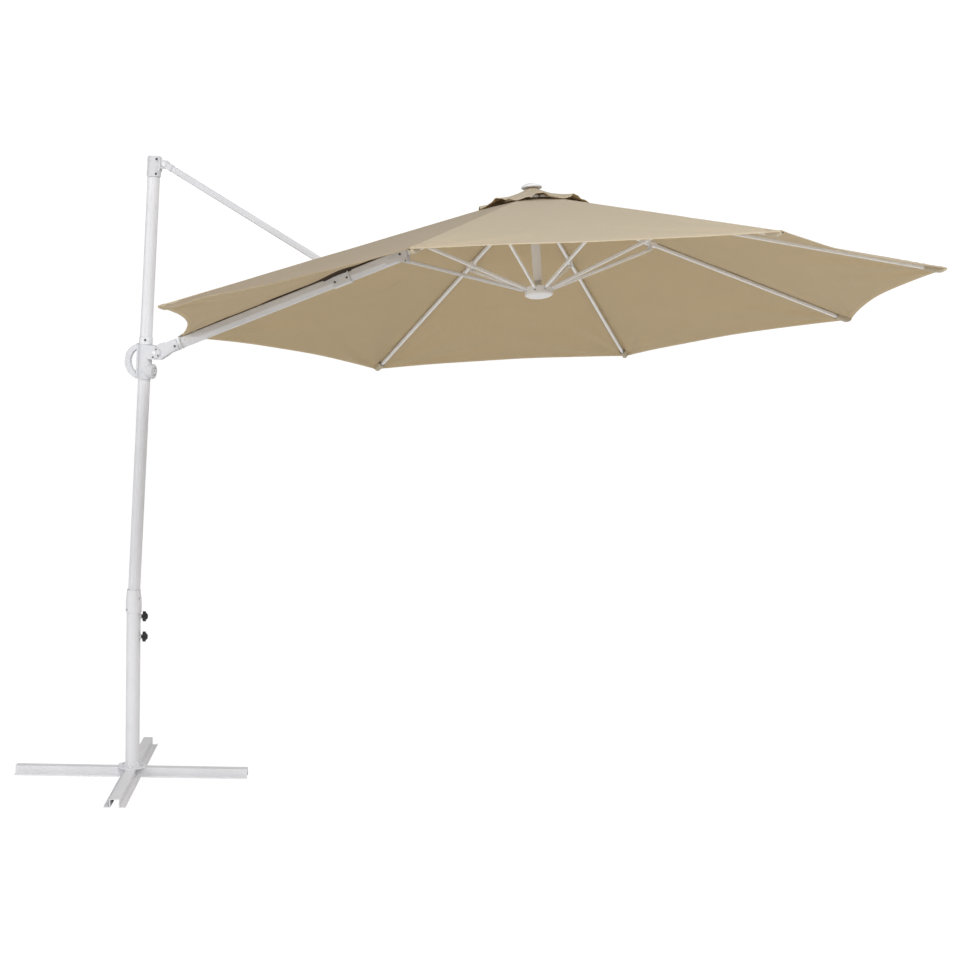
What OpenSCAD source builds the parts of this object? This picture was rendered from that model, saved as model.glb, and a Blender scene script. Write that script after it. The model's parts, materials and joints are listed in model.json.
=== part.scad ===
// Cantilever parasol, 3 m, eight ribs, cross base. Millimetres, +Z up.
// Origin: centre of the base cross on the ground. The arm lies over +X.

/* [Base] */
// length of each cross beam
beam_len = 955; // [700:5:1200]
// overall width of a beam over its flanges
beam_width = 84; // [60:1:120]
// height of a beam
beam_height = 35; // [25:1:60]
// width of the raised tunnel of a beam
tunnel_width = 40; // [20:1:50]
// sheet thickness of the beams
beam_sheet = 3; // [2:0.5:4]
// turn of the cross about the vertical, degrees
cross_turn = 16.8; // [-45:0.1:45]
// outer radius of the lower tube
tube_r = 28.5; // [24:0.5:40]
// height of the top of the lower tube
tube_top = 715; // [500:5:900]

/* [Mast] */
// height at which the mast leans over
bend_z = 749; // [600:1:900]
// lean of the mast towards the canopy, degrees
lean = 2.37; // [0:0.01:6]
// outer radius of the mast profile
mast_r = 24.5; // [20:0.5:35]
// length of the leaning mast
mast_len = 1792; // [1400:1:2200]
// distance of both frame pivots from the mast axis
pivot_out = 48; // [42:1:70]
// height of the slider pivot along the mast
slider_z = 1013; // [700:0.5:1200]

/* [Arm and strut] */
// pivot distance of strut and of lower arm (equal legs)
leg_len = 846.35; // [600:1:1000]
// angle of the slider-to-strut pivots line to the mast normal, degrees
leg_tilt = 26.41; // [10:0.01:60]
// elevation of the arm, degrees
arm_rise = 22.1; // [0:0.1:70]
// roll of the arm and canopy about the arm axis, degrees
roll = -8.62; // [-20:0.1:20]
// height of the lower arm profile
arm_height = 42; // [30:1:60]
// width of the lower arm profile
arm_width = 28; // [20:1:40]
// distance from the slider pivot to the canopy apex, along the arm
apex_x = 1670.6; // [1400:0.2:2000]
// height of the canopy apex over the arm axis
apex_z = 33.2; // [10:1:60]
// angle between arm and canopy plane, degrees
cant = 14.19; // [0:0.01:30]

/* [Canopy] */
// radius over the canopy tips
canopy_r = 1500; // [1000:10:2000]
// fall of the fabric ridges, degrees
fall = 16.9; // [5:0.1:30]
// depth of the curved hem between two tips
scallop = 56; // [10:1:120]
// sheet thickness of the fabric
cloth = 2; // [1:0.5:4]
// radius of the vent cap
vent_r = 230; // [150:5:350]
// radius of the ring of crown pivots
hub_r = 46; // [40:1:80]
// reach of a stretcher, along the radius
reach = 470; // [300:5:600]
// height between rib pivots and lug pivots
drop = 170; // [100:1:260]
// height of a rib profile
rib_height = 15; // [10:1:24]
// width of a rib profile
rib_width = 12; // [8:1:18]

/* [Hidden] */
play = 0.05;
overlap = 0.01;
// heights along the mast
strut_pivot_z = slider_z + 2 * leg_len * sin(leg_tilt);
slider_bottom = slider_z - 108;
slider_top = slider_z + 28;
// strut sleeve on the arm, and its pivot above the arm axis
sleeve_x = leg_len * cos(leg_tilt - lean - arm_rise);
sleeve_pivot_z = leg_len * sin(leg_tilt - lean - arm_rise);
// pivots in the canopy frame
crown_pivot_z = -24;
lug_r = hub_r + reach;
lug_z = crown_pivot_z - drop;
runner_pivot_z = crown_pivot_z - 2 * drop;

// ---------- frames ----------
module at_z(z) { translate([0, 0, z]) children(); }
module at_xz(place) { translate([place[0], 0, place[1]]) children(); }
module turned(angle, z) { rotate([0, 0, angle]) at_z(z) children(); }
module quarters() { for (a = [0:90:270]) rotate([0, 0, a]) children(); }
module eighths() { for (a = [0:45:315]) rotate([0, 0, a]) children(); }
module on_cross() { rotate([0, 0, cross_turn]) children(); }
// mast: Z up its axis from the bend
module on_mast() { at_z(bend_z) rotate([0, lean, 0]) children(); }
module at_slider_pivot() { at_xz([pivot_out, slider_z]) children(); }
module at_strut_pivot() { at_xz([pivot_out, strut_pivot_z]) children(); }
// arm: X along the arm from the slider pivot
module on_arm() { on_mast() at_slider_pivot() rotate([0, -arm_rise - lean, 0]) children(); }
module on_rolled_arm() { on_arm() rotate([roll, 0, 0]) children(); }
module on_sleeve() { on_arm() translate([sleeve_x, 0, 0]) children(); }
// canopy: origin at the apex, Z up the pole, the arm on the -X side
module on_canopy() { on_rolled_arm() at_xz([apex_x, apex_z]) rotate([0, cant, 0]) children(); }
// strut: X down the strut from its upper pivot
module on_strut() { on_mast() at_strut_pivot() rotate([0, leg_tilt, 0]) children(); }

// ---------- shared shapes ----------
module along_y(r, y0, y1) {
  translate([0, y1, 0]) rotate([90, 0, 0]) cylinder(r = r, h = y1 - y0, $fn = 48);
}
module along_x(r, x0, x1) {
  translate([x0, 0, 0]) rotate([0, 90, 0]) cylinder(r = r, h = x1 - x0, $fn = 64);
}
module box(x0, x1, y0, y1, z0, z1) { translate([x0, y0, z0]) cube([x1 - x0, y1 - y0, z1 - z0]); }
// outline in Y and Z, drawn out along X
module profile_x(x0, x1) {
  translate([x0, 0, 0]) rotate([90, 0, 90]) linear_extrude(x1 - x0) children();
}
// outline in X and Z, made into a plate across Y
module plate_y(y0, y1) {
  translate([0, y1, 0]) rotate([90, 0, 0]) linear_extrude(y1 - y0) children();
}
// rectangle with round corners
module soft_box(width, height, r) {
  square([width - 2 * r, height], center = true);
  square([width, height - 2 * r], center = true);
  for (i = [-1, 1], j = [-1, 1])
    translate([i * (width / 2 - r), j * (height / 2 - r)]) circle(r = r, $fn = 24);
}
// equal discs on both sides, centred at +-middle
module pair_y(r, middle, half) {
  for (side = [-1, 1]) translate([0, side * middle, 0]) along_y(r, -half, half);
}
// pin across Y with a head on each end
module rivet(shank_r, shank_half, head_r, head_middle, head_half) {
  along_y(shank_r, -shank_half, shank_half);
  pair_y(head_r, head_middle, head_half);
}
// pivot pin across Y: plain head on -Y, hexagon socket head on +Y
pivot_pin_r = 5;
module pivot_pin(shank_half, seat, plain_end, socket_end) {
  along_y(pivot_pin_r, -shank_half, shank_half);
  along_y(8, -plain_end, -seat);
  difference() {
    along_y(8, seat, socket_end);
    translate([0, socket_end + 0.1, 0]) rotate([90, 0, 0]) cylinder(r = 4, h = 2, $fn = 6);
  }
}
// screw along X with a dimpled head, and its hole
screw_r = 2.4;
screw_head_r = 4.4;
module screw_x(tip, seat, top) {
  difference() {
    union() {
      along_x(screw_r, tip, top - 1.2);
      along_x(screw_head_r, seat, top);
    }
    along_x(2.2, top - 0.8, top + 1);
  }
}
module screw_hole_x() { along_x(screw_r + play, 20, 40); }

// ---------- base ----------
tunnel_corner = 3;
lip_width = 3;
lip_height = 7;
bolt_ring_r = 46;
plate_z = beam_height + 5;
knob_low_z = 585;
knob_high_z = 670;
seat_z = 404;
seat_height = 14;
// collar screws: turn, height, floor radius of the head recess, radius at the head top
collar_screw_places = [[40, 700, 31.65, 34.6], [220, 700, 31.65, 34.6], [-36.8, 748, 29.95, 32.3]];
// collar section: radius, height
collar_outline = [
  [26.3, 717], [26.3, 781], [26.9, 782], [27.5, 780.5], [28.4, 770], [31.6, 741],
  [32.2, 726], [32.2, 690], [31.4, 688], [tube_r + 0.04, 688], [tube_r + 0.04, 717]];

module beam_outline() {
  roof_half = tunnel_width / 2;
  difference() {
    union() {
      translate([-beam_width / 2, 0]) square([beam_width, beam_sheet]);
      translate([-roof_half, 0]) square([tunnel_width, beam_height - tunnel_corner]);
      translate([-roof_half + tunnel_corner, 0])
        square([tunnel_width - 2 * tunnel_corner, beam_height]);
      for (side = [-1, 1])
        translate([side * (roof_half - tunnel_corner), beam_height - tunnel_corner])
          circle(r = tunnel_corner, $fn = 32);
    }
    translate([-roof_half + beam_sheet, -1])
      square([tunnel_width - 2 * beam_sheet, beam_height - beam_sheet + 1]);
  }
  // lips at the flange edges
  for (side = [-1, 1])
    translate([side * (beam_width - lip_width) / 2 - lip_width / 2, 0])
      square([lip_width, lip_height]);
}
module beam() { profile_x(-beam_len / 2, beam_len / 2) beam_outline(); }
module bolt_holes(turns, z) {
  for (a = turns) rotate([0, 0, a])
    translate([bolt_ring_r, 0, z]) cylinder(r = 4.3, h = 40, $fn = 32);
}
module beam_long() color("white") on_cross() difference() {
  half = tunnel_width / 2;
  union() {
    beam();
    // plate closing the tunnel under the crossing
    box(-30, 30, -half + 1, half - 1, 0, 3);
  }
  // upper half cut away for the crossing beam
  box(-half - 0.3, half + 0.3, -half - 1, half + 1, beam_height / 2, beam_height + 1);
  bolt_holes([0, 180], beam_height / 2);
}
module beam_cross() color("white") on_cross() difference() {
  half = tunnel_width / 2;
  rotate([0, 0, 90]) beam();
  // lower half and flanges cut away for the long beam
  box(-beam_width, beam_width, -half - 0.3, half + 0.3, -1, beam_height / 2 + 0.2);
  box(-beam_width / 2 - 1, beam_width / 2 + 1, -beam_width / 2 - 0.4, beam_width / 2 + 0.4,
    -1, lip_height + 0.4);
  bolt_holes([90, 270], beam_height / 2);
}
module base_plate() color("white") on_cross() difference() {
  union() {
    at_z(beam_height + 0.1) linear_extrude(4.9) difference() {
      circle(r = 59, $fn = 120);
      circle(r = 6, $fn = 32);
    }
    // gussets around the tube, between the bolts
    quarters() rotate([0, 0, 45]) translate([tube_r - 0.5, 0, plate_z - overlap])
      plate_y(-2, 2) polygon([[0.56, 0], [15, 0], [15, 4], [0.56, 26]]);
    at_z(plate_z - overlap) cylinder(r = tube_r - 2.2, h = 24, $fn = 96);
  }
  bolt_holes([0:90:270], 20);
  at_z(plate_z + 2) cylinder(r = tube_r - 5, h = 40, $fn = 96);
}
module base_bolt() {
  at_z(24) cylinder(r = 4, h = plate_z - 24 + 1, $fn = 32);
  // head
  difference() {
    at_z(plate_z + 0.05) cylinder(r = 7.5, h = 7, $fn = 6);
    at_z(plate_z + 6.2) cylinder(r = 3, h = 2, $fn = 24);
  }
  // nut
  difference() {
    at_z(24.5) cylinder(r = 7, h = 7, $fn = 6);
    at_z(24) cylinder(r = 3, h = 1, $fn = 24);
  }
}
module collar_screws() color("silver") on_cross() for (place = collar_screw_places) {
  top = place[3];
  turned(place[0], place[1]) screw_x(top - 4.3, top - 2.3, top);
}
module base_bolts() {
  color("silver") on_cross() quarters() translate([bolt_ring_r, 0, 0]) base_bolt();
  collar_screws();
}
module lower_tube() color("white") difference() {
  union() {
    at_z(plate_z + 0.05) cylinder(r = tube_r, h = tube_top - plate_z, $fn = 96);
    on_cross() for (z = [knob_low_z, knob_high_z]) at_z(z) along_x(10, tube_r - 3, tube_r + 4);
  }
  at_z(plate_z - 1) cylinder(r = tube_r - 2, h = tube_top, $fn = 96);
  on_cross() for (z = [knob_low_z, knob_high_z]) at_z(z) along_x(4 + play, 10, tube_r + 10);
}
module swivel_bushes() color("dimgray") {
  for (z = [430, 700]) at_z(z) difference() {
    cylinder(r = tube_r - 2.05, h = 9.9, $fn = 96);
    at_z(-1) cylinder(r = 24 + play, h = 30, $fn = 96);
  }
  // seat under the mast foot
  difference() {
    at_z(seat_z) cylinder(r = tube_r - 2.05, h = seat_height, $fn = 96);
    at_z(seat_z - 1) cylinder(r = 12, h = 20, $fn = 48);
  }
}
module collar() color("white") difference() {
  rotate_extrude($fn = 120) polygon(collar_outline);
  on_cross() for (place = collar_screw_places) turned(place[0], place[1]) {
    screw_hole_x();
    along_x(screw_head_r + play, place[2], 40);
  }
}
// lobed clamping knob on a threaded stud, axis +X
module knob() {
  difference() {
    union() {
      along_x(7, 33, 40);
      translate([38, 0, 0]) rotate([0, 90, 0]) linear_extrude(12) {
        circle(r = 17, $fn = 48);
        for (a = [0:60:300]) rotate(a) translate([15.2, 0]) circle(r = 6.2, $fn = 32);
      }
      translate([50, 0, 0]) rotate([0, 90, 0]) cylinder(r1 = 17, r2 = 9, h = 7, $fn = 64);
      along_x(9, 56, 58);
    }
    // flutes between the lobes
    for (a = [30:60:330]) rotate([a, 0, 0]) at_z(22.5) along_x(3.6, 36, 52);
  }
  along_x(4, 24.4, 36);
}
module knob_upper() color("black") on_cross() at_z(knob_high_z) knob();
module knob_lower() color("black") on_cross() at_z(knob_low_z) knob();

// ---------- mast ----------
insert_z = seat_z + seat_height + 0.1;
insert_screw_z = 20;
mast_bore_r = mast_r + 0.03;
cap_screw_turn = -50;
cap_screw_heights = [mast_len - 65, mast_len - 7];
stop_z = slider_top + 4;
stop_screw_turn = -72;
stop_screw_z = stop_z + 17;
// cap rings: bottom below the mast end, height, radius
cap_rings = [[76, 24, 28], [52.1, 36.2, 27], [16, 16, 28]];

// round foot in the lower tube, carried past the bend into the mast
module mast_insert() color("silver") difference() {
  union() {
    at_z(insert_z) cylinder(r = 24, h = bend_z - insert_z - 0.4, $fn = 96);
    on_mast() at_z(-8) cylinder(r = 21.4, h = 108, $fn = 96);
  }
  at_z(400) cylinder(r = 20, h = 340, $fn = 72);
  on_mast() at_z(-20) cylinder(r = 18.4, h = 160, $fn = 72);
}
module mast_pole() color("white") on_mast() difference() {
  at_z(1.2) linear_extrude(mast_len - 1.2) difference() {
    circle(r = mast_r, $fn = 128);
    circle(r = mast_r - 2.8, $fn = 96);
    // wide and narrow grooves in turn
    for (a = [15:30:345]) rotate(a) translate([mast_r + 0.3, 0]) circle(r = 1.6, $fn = 16);
    for (a = [0:30:330]) rotate(a) translate([mast_r + 0.5, 0]) circle(r = 1.1, $fn = 12);
  }
  for (a = [90, 270]) turned(a, insert_screw_z) along_x(2.55, 10, 40);
}
module mast_screws() color("silver") on_mast() {
  for (a = [90, 270]) turned(a, insert_screw_z) {
    along_x(2.5, 21.45, 25);
    along_x(4.5, 24.6, 25.5);
  }
  for (z = cap_screw_heights) turned(cap_screw_turn, z) screw_x(24.6, 28.05, 30.2);
  turned(stop_screw_turn, stop_screw_z) screw_x(24.6, 26.95, 30.2);
}
module mast_cap() color("white") on_mast() difference() {
  union() {
    for (ring = cap_rings) at_z(mast_len - ring[0]) cylinder(r = ring[2], h = ring[1], $fn = 96);
    at_z(mast_len - 0.1) cylinder(r1 = 28, r2 = 25, h = 5.1, $fn = 96);
    // lug for the strut
    box(18, pivot_out, -8, 8, strut_pivot_z - 17, strut_pivot_z + 17);
    at_strut_pivot() along_y(17, -8, 8);
    at_z(strut_pivot_z) plate_y(-13, 13)
      polygon([[18, -30], [27.5, -30], [30, -14], [30, 14], [26.5, 24], [18, 24]]);
  }
  at_z(mast_len - 82) cylinder(r = mast_bore_r, h = 82.1, $fn = 128);
  at_strut_pivot() along_y(pivot_pin_r + play, -20, 20);
  for (z = cap_screw_heights) turned(cap_screw_turn, z) screw_hole_x();
}
module top_pin() color("silver") on_mast() at_strut_pivot() pivot_pin(12.6, 12.5, 15.5, 17);
module slider_stop() color("white") on_mast() difference() {
  union() {
    at_z(stop_z) cylinder(r = 26.9, h = 24, $fn = 96);
    at_z(stop_z + 23.9) cylinder(r1 = 26.9, r2 = 25.2, h = 4, $fn = 96);
  }
  at_z(stop_z - 5) cylinder(r = mast_bore_r, h = 40, $fn = 128);
  turned(stop_screw_turn, stop_screw_z) screw_hole_x();
}

// ---------- strut ----------
strut_start = 34;
// from the lower pivot back to the tube end and to the foot rivet
foot_len = 62;
foot_rivet = 78;
strut_rivets = [48, leg_len - foot_rivet];
strut_pin_r = 4;
rivet_hole_r = 2.05;

module strut_plug_outline() { soft_box(12.5, 21.5, 4.3); }
module strut_tube() color("white") on_strut() difference() {
  profile_x(strut_start, leg_len - foot_len) difference() {
    soft_box(16, 25, 6);
    soft_box(12.6, 21.6, 4.4);
  }
  for (x = strut_rivets) translate([x, 0, 0]) along_y(rivet_hole_r, -20, 20);
}
module strut_head() color("dimgray") on_strut() difference() {
  union() {
    // fork over the lug of the mast cap
    pair_y(12.5, 10.2, 2.1);
    for (side = [-1, 1]) box(0, 30, side * 10.2 - 2.1, side * 10.2 + 2.1, -11, 11);
    box(19.5, strut_start - 0.1, -12.3, 12.3, -12.5, 12.5);
    profile_x(strut_start - 0.2, 59.8) strut_plug_outline();
  }
  along_y(pivot_pin_r + play, -30, 30);
  translate([strut_rivets[0], 0, 0]) along_y(rivet_hole_r, -20, 20);
}
module strut_foot() color("white") on_strut() translate([leg_len, 0, 0]) difference() {
  union() {
    along_y(9, -6, 6);
    box(-36, 0, -6, 6, -6, 6);
    box(-foot_len + 0.1, -34, -10, 10, -11, 11);
    profile_x(-88, -foot_len + 0.5) strut_plug_outline();
  }
  along_y(strut_pin_r + play, -30, 30);
  translate([-foot_rivet, 0, 0]) along_y(rivet_hole_r, -20, 20);
}
module strut_pins() color("silver") on_strut() {
  for (x = strut_rivets) translate([x, 0, 0]) rivet(2, 8.9, 3.6, 8.9, 0.85);
  translate([leg_len, 0, 0]) rivet(strut_pin_r, 16.2, 6.5, 17.2, 1.15);
}

// ---------- sleeve and elbow ----------
journal_r = 13.5;
spigot_r = 14;
elbow_x = 105;
elbow_screw_place = [92, -5];
sleeve_screw_places = [[-26, -2], [26, -2]];
// side of the elbow: along the arm, height
elbow_outline = [
  [5, 18.5], [16, 22], [34, 28], [46, 27], [59, 22.5], [75, 22],
  [75, -21.5], [58, -22.5], [44, -27], [34, -30], [10, -30]];

module strut_sleeve() color("white") on_sleeve() difference() {
  union() {
    profile_x(-38, 38) soft_box(34, 50, 7);
    // ears beside the strut foot
    for (side = [-1, 1]) translate([0, side * 11, 0]) {
      at_z(sleeve_pivot_z) along_y(10, -5, 5);
      box(-10, 10, -5, 5, 10, sleeve_pivot_z);
    }
  }
  along_x(journal_r + play, -60, 60);
  box(-40, 18, -6.2, 6.2, 19, 60);
  at_z(sleeve_pivot_z) along_y(strut_pin_r + play, -20, 20);
  for (place = sleeve_screw_places) at_xz(place) along_y(2.1, -20, -14);
}
module elbow() color("white") on_arm() difference() {
  union() {
    at_xz([12, -6]) along_y(27, -16.4, 16.4);
    along_y(19, -16.4, 16.4);
    plate_y(-16.4, 16.4) polygon(elbow_outline);
    profile_x(66, elbow_x - 0.3) soft_box(34, 46, 8);
  }
  // bore for the spigot and groove for its collar
  along_x(spigot_r + play, 44, 140);
  along_x(15.8, 42, 47.2);
  along_y(pivot_pin_r + play, -40, 40);
  at_xz(elbow_screw_place) along_y(2.1, -30, -15);
}
module side_screw(tip) {
  difference() {
    union() {
      along_y(2, -18, tip);
      along_y(4.2, -19.4, -17.05);
    }
    along_y(2, -20, -18.8);
  }
}
module elbow_screws() color("dimgray") {
  on_arm() at_xz(elbow_screw_place) side_screw(-15.2);
  on_sleeve() for (place = sleeve_screw_places) at_xz(place) side_screw(-14.6);
}

// ---------- slider ----------
slider_r = 27.5;
slider_len = slider_top - slider_bottom;
handle_peg_heights = [slider_bottom + 10, slider_top - 10];
crank_z = slider_bottom + 31;
// cheek screws from the arm pivot: x, z
cheek_screws = [[7.8, 14.7], [17.8, -9.6], [-3.6, -17.8]];
// crank housing section: radius, distance from the mast axis
crank_outline = [
  [0, 32.1], [30, 32.1], [30, 38], [28.6, 41.5], [25.5, 43.6], [21.5, 44.2], [0, 44.2]];

module slider() color("white") on_mast() difference() {
  union() {
    at_z(slider_bottom) cylinder(r = slider_r, h = slider_len, $fn = 96);
    at_z(slider_top - 0.1) cylinder(r1 = slider_r, r2 = 26.6, h = 3.6, $fn = 96);
    at_z(slider_bottom - 3) cylinder(r1 = 26.4, r2 = slider_r, h = 3.1, $fn = 96);
    // cheeks of the arm pivot
    at_slider_pivot() pair_y(23.5, 20, 3.4);
    for (side = [-1, 1])
      box(8, pivot_out + 2, side * 20 - 3.4, side * 20 + 3.4, slider_z - 27, slider_top);
    box(10, 26, -23, 23, slider_z - 27, slider_top);
    // flat for the handle
    box(-34, -18, -11, 11, slider_bottom, slider_top);
    // boss of the winding gear
    at_z(crank_z) along_x(30, 0, 32);
  }
  at_z(slider_bottom - 15) cylinder(r = 25.9, h = 170, $fn = 96);
  // room for the elbow between the cheeks
  at_slider_pivot() along_y(21.3, -16.55, 16.55);
  box(28.4, 90, -16.55, 16.55, slider_z - 30, slider_z + 30);
  at_slider_pivot() {
    along_y(pivot_pin_r + 0.02, -30, 30);
    for (place = cheek_screws) at_xz(place) along_y(1.5, -30, -18);
  }
  for (z = handle_peg_heights) at_z(z) along_x(3, -36, -22);
}
module slider_liner() color("dimgray") on_mast() difference() {
  at_z(slider_bottom - 2) cylinder(r = 25.87, h = slider_len + 5, $fn = 96);
  at_z(slider_bottom - 15) cylinder(r = mast_r + 0.08, h = 170, $fn = 128);
}
// bow handle on the -X side of the slider
module handle() color("white") on_mast() difference() {
  union() {
    plate_y(-9.5, 9.5) difference() {
      translate([-13.1, slider_bottom + 68.5]) circle(r = 72.5, $fn = 160);
      translate([-5.5, slider_bottom + 68.5]) circle(r = 56.5, $fn = 128);
      translate([-35, slider_bottom - 25]) square([160, 190]);
    }
    for (z = [slider_bottom + 6.5, slider_top - 5.5]) box(-37, -34.1, -9.5, 9.5, z - 9, z + 9);
    for (z = handle_peg_heights) at_z(z) along_x(2.9, -35, -26.2);
  }
  // blind hole in the outer face
  at_z((slider_bottom + slider_top) / 2) along_x(2, -90, -80);
}
module crank_housing() color("white") on_mast() at_z(crank_z) difference() {
  rotate([0, 90, 0]) rotate_extrude($fn = 96) polygon(crank_outline);
  along_x(19, 34, 50);
}
module crank_drive() color("dimgray") on_mast() at_z(crank_z) difference() {
  union() {
    along_x(18.94, 34.2, 38);
    along_x(12, 37.9, 43);
  }
  rotate([0, 90, 0]) at_z(36) cylinder(r = 7, h = 20, $fn = 6);
}
module slider_pin() color("dimgray") on_mast() at_slider_pivot() {
  pivot_pin(23.5, 23.45, 26, 27);
  for (place = cheek_screws) at_xz(place) {
    along_y(1.45, -24, -18.5);
    difference() {
      along_y(3.2, -25.6, -23.45);
      along_y(1.5, -26, -24.9);
    }
  }
}

// ---------- arm ----------
// stations along the arm
lower_end_x = 1088;
upper_start_x = lower_end_x - 42;
upper_end_x = 1598;
tie_x = 116;
journal_half = 38.4;
// profile of the upper arm
upper_height = 24;
upper_width = 20;
upper_z = 6;
// cross screws and rivets
arm_screw_z = 4;
bracket_screws = [lower_end_x - 32, lower_end_x - 12, lower_end_x + 18];
spigot_rivet = elbow_x + 31;
journal_rivets = [sleeve_x - 70, sleeve_x + 70];
crown_end_rivet = upper_end_x - 18;
hub_pin_r = 2.5;
// point of the arm ridge, given in the canopy plane, as x and z of the arm
function on_arm_xz(r, z) = [
  apex_x - r * cos(cant) + z * sin(cant),
  apex_z + r * sin(cant) + z * cos(cant)];
arm_lug = on_arm_xz(lug_r, lug_z);
crown_eye = on_arm_xz(hub_r, crown_pivot_z);

// closed outline of the lower arm, bevelled underneath
module arm_outline(inset = 0) {
  top = arm_height / 2 - inset;
  side = arm_width / 2 - inset;
  polygon([
    [-side, -4], [-side * 0.45, -top], [side * 0.45, -top], [side, -4],
    [side, top - 3], [side - 3, top], [3 - side, top], [-side, top - 3]]);
}
module lower_bar(x0, x1, inset) { profile_x(x0, x1) arm_outline(inset); }
module upper_bar(x0, x1, inset) {
  at_z(upper_z) profile_x(x0, x1)
    soft_box(upper_width - 2 * inset, upper_height - 2 * inset, 5 - inset);
}
module arm_holes(stations) {
  for (x = stations) at_xz([x, arm_screw_z]) along_y(rivet_hole_r, -20, 20);
}
module arm_lower() color("white") on_rolled_arm() difference() {
  union() {
    lower_bar(elbow_x, sleeve_x - journal_half, 0);
    lower_bar(sleeve_x + journal_half, lower_end_x, 0);
  }
  lower_bar(elbow_x - 1, lower_end_x + 1, 2);
  arm_holes(concat([spigot_rivet], journal_rivets, [bracket_screws[0], bracket_screws[1]]));
}
module arm_upper() color("white") on_rolled_arm() difference() {
  upper_bar(upper_start_x, upper_end_x, 0);
  upper_bar(upper_start_x - 6, upper_end_x + 1, 1.6);
  arm_holes(concat(bracket_screws, [crown_end_rivet]));
}
// turned journal that runs in the strut sleeve
module arm_journal() color("silver") on_rolled_arm() difference() {
  start = sleeve_x - journal_half;
  end = sleeve_x + journal_half;
  union() {
    along_x(journal_r, start, end);
    lower_bar(start - 50, start + 0.1, 2.1);
    lower_bar(end - 0.1, end + 50, 2.1);
  }
  along_x(8, sleeve_x - 200, sleeve_x + 200);
  arm_holes(journal_rivets);
}
// spigot that runs in the elbow
module arm_spigot() color("silver") on_rolled_arm() difference() {
  union() {
    along_x(spigot_r, 44.4, elbow_x - 0.03);
    along_x(15.6, 42.3, 46.9);
    lower_bar(elbow_x - 0.15, elbow_x + 44, 2.1);
  }
  along_x(8, 40, 200);
  arm_holes([spigot_rivet]);
}
// side plate from the arm joint down to the stretcher lug
module bracket_outline() {
  polygon([
    [1040, -16], [1066, -18], [1092, -18], arm_lug + [-7, -4], arm_lug + [7, -4],
    [1133, -4], [1133, 8], [1122, 17], [1040, 17]]);
  translate(arm_lug) circle(r = 8, $fn = 48);
}
module end_bracket() color("white") on_rolled_arm() {
  for (side = [-1, 1]) difference() {
    plate_y(side * 15.3 - 1.2, side * 15.3 + 1.2) bracket_outline();
    at_xz(arm_lug) along_y(hub_pin_r + 0.02, -30, 30);
    arm_holes(bracket_screws);
  }
  // plug between the two profiles and spacers beside the thin one
  difference() {
    union() {
      lower_bar(upper_start_x, lower_end_x + 0.3, 2.1);
      lower_bar(lower_end_x + 0.2, lower_end_x + 5, 0.3);
      box(lower_end_x + 4, 1118, -13.9, 13.9, -5.6, 16);
    }
    upper_bar(1040, 1130, -0.05);
    arm_holes(bracket_screws);
    box(lower_end_x + 6, 1140, -30, 30, 17, 40);
    box(lower_end_x + 6, 1140, -30, 30, -40, -5.95);
    box(1040, 1140, -9, 9, 17, 40);
  }
}
module arm_screws() color("dimgray") on_rolled_arm() {
  for (x = bracket_screws) at_xz([x, arm_screw_z]) {
    along_y(2, -16.6, 16.6);
    for (a = [0, 180]) rotate([0, 0, a]) difference() {
      along_y(4.2, 16.55, 18.8);
      along_y(1.9, 17.6, 19);
    }
  }
  for (x = concat([spigot_rivet], journal_rivets))
    at_xz([x, arm_screw_z]) rivet(2, 14.1, 3.5, 14.7, 0.65);
  at_xz([crown_end_rivet, arm_screw_z]) rivet(2, 10.1, 3.5, 10.7, 0.65);
  // pin of the arm stretcher with its spacers
  at_xz(arm_lug) {
    rivet(hub_pin_r, 16.7, 4.2, 17.6, 1.05);
    pair_y(4.5, 9.15, 4.8);
  }
}
module arm_crown_end() color("white") on_rolled_arm() difference() {
  union() {
    upper_bar(upper_end_x - 40, upper_end_x + 0.05, 1.65);
    upper_bar(upper_end_x + 0.02, upper_end_x + 7, 0.2);
    at_xz(crown_eye) along_y(6.5, -4.3, 4.3);
    plate_y(-4.3, 4.3) polygon([
      [upper_end_x + 2, 3], [upper_end_x + 8, 4], crown_eye + [2.5, -6],
      crown_eye + [-2, 6.2], [upper_end_x + 2, 17]]);
  }
  at_xz(crown_eye) along_y(hub_pin_r + play, -30, 30);
  arm_holes([crown_end_rivet]);
  at_xz([upper_end_x + 15, -10]) along_y(10, -20, 20);
}
// band around the lower arm with a loop on top
module corner_tie() color("tan") on_rolled_arm() {
  profile_x(tie_x, tie_x + 9) difference() {
    arm_outline(-1.3);
    arm_outline(-0.05);
  }
  difference() {
    at_xz([tie_x + 4.5, 22.6]) along_y(4, -5, 5);
    at_xz([tie_x + 4.5, 23.4]) along_y(2, -6, 6);
    box(tie_x - 1, tie_x + 11, -9, 9, 15, 21.05);
  }
}

// ---------- crown, pole, runner ----------
slot_width = 9.2;
pole_r = 17;
inner_tube_r = 13;
// section of the finial knob: radius, height
finial_outline = [
  [0, 0], [37, 0], [39.4, 1.2], [40, 4], [38.6, 7.5], [33, 12], [22, 16], [10, 18.2], [0, 18.8]];
// underside of the runner: radius, height from its pivots
runner_outline = [
  [0, -9.9], [hub_r + 7.5, -9.9], [hub_r + 8, -15], [hub_r + 7, -21], [hub_r + 1, -26],
  [36, -30.5], [20, -33.4], [0, -34.4]];

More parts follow.
